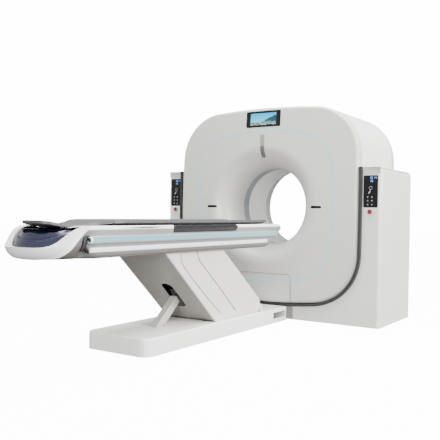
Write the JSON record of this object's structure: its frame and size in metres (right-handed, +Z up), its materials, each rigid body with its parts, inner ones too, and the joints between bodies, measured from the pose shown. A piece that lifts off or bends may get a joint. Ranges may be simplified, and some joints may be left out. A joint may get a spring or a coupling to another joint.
{
  "type": "ct scanner",
  "caption": "Whole-body CT scanner with a tilting ring gantry between two pedestals and a patient table on a swinging lift column.",
  "frame": {"origin": "on the floor, right under the crossing of the bore axis and the gantry's tilt axis", "axes": "+Y along the bore from the table's foot end into the gantry, +Z up, +X to the right looking along +Y"},
  "size_m": [2.182, 3.7273, 1.896],
  "materials": {
    "white_cover": "satin",
    "base_white": "satin",
    "liner_white": "matte",
    "beam_window": "satin dark film",
    "ring_light": "lit, pale cyan",
    "strip_light": "lit, teal",
    "dark_glass": "gloss",
    "lit_screen": "lit, blue",
    "black_rubber": "matte",
    "black_plastic": "matte",
    "frame_steel": "satin grey paint",
    "shaft_steel": "ground",
    "tube_metal": "satin",
    "detector_black": "matte",
    "stop_red": "gloss",
    "stop_yellow": "satin",
    "navy_gloss": "gloss",
    "cradle_grey": "satin moulded skin on a foam core",
    "cradle_dark": "satin",
    "rail_grey": "satin anodised"
  },
  "bodies": {
    "stand": {"gantry_base_plate": "frame_steel", "left_tower": "frame_steel", "right_tower": "frame_steel", "tilt_bearings": "shaft_steel", "base_fascia": "base_white", "rear_fascia": "base_white", "left_pedestal_cover": "base_white", "right_pedestal_cover": "base_white", "left_pedestal_cap": "base_white", "right_pedestal_cap": "base_white", "gap_seal": "black_rubber", "left_control_panel": "dark_glass", "right_control_panel": "dark_glass", "left_stop_collar": "stop_yellow", "right_stop_collar": "stop_yellow", "plinth_frame": "frame_steel", "plinth_cover": "base_white", "plinth_bridge": "base_white", "pivot_shafts": "shaft_steel"},
    "pod": {"front_cover": "white_cover", "rear_cover": "white_cover", "side_wrap": "white_cover", "access_panel": "white_cover", "scan_window": "beam_window", "bore_liner": "liner_white", "light_ring": "ring_light", "laser_window": "dark_glass", "display_bezel": "dark_glass", "display_screen": "lit_screen", "intercom_ports": "black_plastic", "stator_frame": "frame_steel", "tilt_shafts": "shaft_steel"},
    "rotor": {"rotor_ring": "frame_steel", "x_ray_tube": "tube_metal", "collimator": "tube_metal", "detector_array": "detector_black", "generator": "frame_steel", "cooling_unit": "frame_steel"},
    "left_stop_stem": {"left_stop_stem": "shaft_steel"},
    "right_stop_stem": {"right_stop_stem": "shaft_steel"},
    "left_stop_head": {"left_stop_head": "stop_red"},
    "right_stop_head": {"right_stop_head": "stop_red"},
    "lift_arm": {"lift_arm": "frame_steel", "lift_arm_cover": "white_cover"},
    "middle_link": {"middle_link_cover": "white_cover"},
    "rear_link": {"rear_link_cover": "white_cover"},
    "actuator_tube": {"actuator_tube": "white_cover"},
    "actuator_rod": {"actuator_rod": "shaft_steel"},
    "table_top": {"table_frame": "frame_steel", "table_shafts": "shaft_steel", "table_body_cover": "white_cover", "nose_cover": "white_cover", "nose_insert": "navy_gloss", "left_light_rail": "white_cover", "right_light_rail": "white_cover", "light_strips": "strip_light", "lower_rails": "rail_grey", "accessory_rails": "rail_grey"},
    "cradle": {"cradle": "cradle_grey", "cradle_beam": "cradle_dark"}
  },
  "joints": [
    {"name": "gantry_tilt", "type": "hinge", "parent": "stand", "child": "pod", "pos_m": [0, 0, 1.01], "axis": [1, 0, 0], "range_deg": [-20, 20]},
    {"name": "rotor_spin", "type": "hinge", "parent": "pod", "child": "rotor", "pos_m": [0, 0, 1.01], "axis": [0, 1, 0], "continuous": true},
    {"name": "table_lift", "type": "hinge", "parent": "stand", "child": "lift_arm", "pos_m": [0, -1.54, 0.182], "axis": [-1, 0, 0], "range_deg": [-20, 2]},
    {"name": "table_level", "type": "hinge", "parent": "lift_arm", "child": "table_top", "pos_m": [0, -2.19341, 0.75], "axis": [-1, 0, 0], "range_deg": [-2, 20]},
    {"name": "middle_swing", "type": "hinge", "parent": "stand", "child": "middle_link", "pos_m": [0, -1.42335, 0.08842], "axis": [-1, 0, 0], "range_deg": [-20, 2]},
    {"name": "rear_swing", "type": "hinge", "parent": "stand", "child": "rear_link", "pos_m": [0, -0.94, 0.182], "axis": [-1, 0, 0], "range_deg": [-20, 2]},
    {"name": "actuator_swing", "type": "hinge", "parent": "stand", "child": "actuator_tube", "pos_m": [0, -1.985, 0.112], "axis": [1, 0, 0], "range_deg": [-1.1, 0.15]},
    {"name": "actuator_extend", "type": "slide", "parent": "actuator_tube", "child": "actuator_rod", "axis": [0, 0.7658, 0.6431], "range_m": [-0.0815, 0.0085]},
    {"name": "cradle_slide", "type": "slide", "parent": "table_top", "child": "cradle", "axis": [0, 1, 0], "range_m": [0, 1.5]},
    {"name": "left_stop_push", "type": "slide", "parent": "stand", "child": "left_stop_stem", "axis": [0, 1, 0], "range_m": [0, 0.004], "stiffness_N_per_m": 1500, "springref_m": -0.002},
    {"name": "left_stop_twist", "type": "hinge", "parent": "left_stop_stem", "child": "left_stop_head", "pos_m": [-1.003, -0.45, 0.968], "axis": [0, 1, 0], "range_deg": [0, 30], "stiffness_Nm_per_rad": 0.05, "springref_deg": -11.46},
    {"name": "right_stop_push", "type": "slide", "parent": "stand", "child": "right_stop_stem", "axis": [0, 1, 0], "range_m": [0, 0.004], "stiffness_N_per_m": 1500, "springref_m": -0.002},
    {"name": "right_stop_twist", "type": "hinge", "parent": "right_stop_stem", "child": "right_stop_head", "pos_m": [1.003, -0.45, 0.968], "axis": [0, 1, 0], "range_deg": [0, 30], "stiffness_Nm_per_rad": 0.05, "springref_deg": -11.46}
  ],
  "couplings": [
    {"joint": "table_level", "follows": "table_lift", "ratio": -1},
    {"joint": "middle_swing", "follows": "table_lift", "ratio": 1},
    {"joint": "rear_swing", "follows": "table_lift", "ratio": 1},
    {"joint": "actuator_swing", "follows": "table_lift", "ratio": 0.0515},
    {"joint": "actuator_extend", "follows": "table_lift", "m_per_rad": 0.23205}
  ]
}
